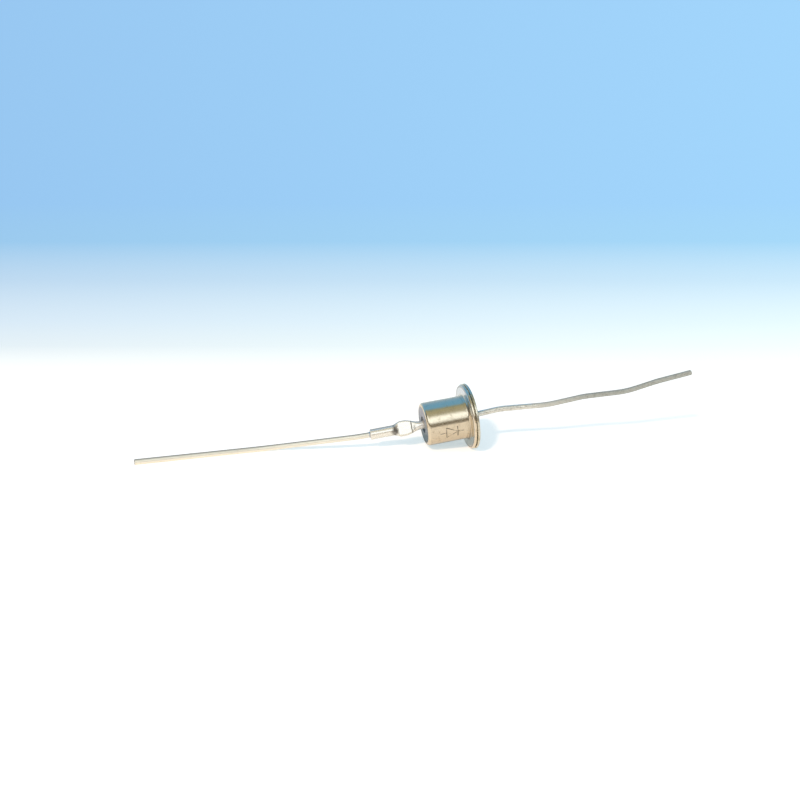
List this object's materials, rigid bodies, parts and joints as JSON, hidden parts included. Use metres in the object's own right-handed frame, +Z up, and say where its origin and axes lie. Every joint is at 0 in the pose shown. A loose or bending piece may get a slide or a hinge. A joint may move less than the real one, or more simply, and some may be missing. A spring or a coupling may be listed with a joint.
{
  "type": "rectifier diode",
  "caption": "Flanged round metal-case rectifier diode with a glass-sealed pinched anode tube and bent tinned wire leads out of both ends.",
  "frame": {"origin": "on the surface the diode lies on, midway between the two cut lead ends and under the case's axis", "axes": "+X along the leads, from the anode's cut end to the cathode's; +Z up from the surface; the case's axis lies in the XZ plane and rises by 8.8 degrees towards +X"},
  "size_m": [0.0832, 0.0098, 0.0118],
  "materials": {
    "case_plating": "dull tin plate, worn and lightly stained",
    "header_plating": "tin plate, yellowed at the rim",
    "seal_glass": "dark smooth glass",
    "tube_tinning": "bright tinning",
    "lead_tinning": "bright tinning, slightly warm",
    "dipped_lead": "dull, speckled solder dip",
    "solder": "satin solder",
    "copper": "annealed copper",
    "contact_metal": "ground molybdenum",
    "silicon": "etched silicon"
  },
  "bodies": {
    "root": {"cap": "case_plating", "header": "header_plating", "glass_seal": "seal_glass", "anode_tube": "tube_tinning", "anode_lead": "lead_tinning", "socket_solder": "solder", "cathode_lead": "dipped_lead", "inner_lead": "copper", "contact_solder": "solder", "upper_plate": "contact_metal", "upper_solder": "solder", "silicon_pellet": "silicon", "lower_solder": "solder", "lower_plate": "contact_metal", "base_solder": "solder"}
  },
  "joints": []
}
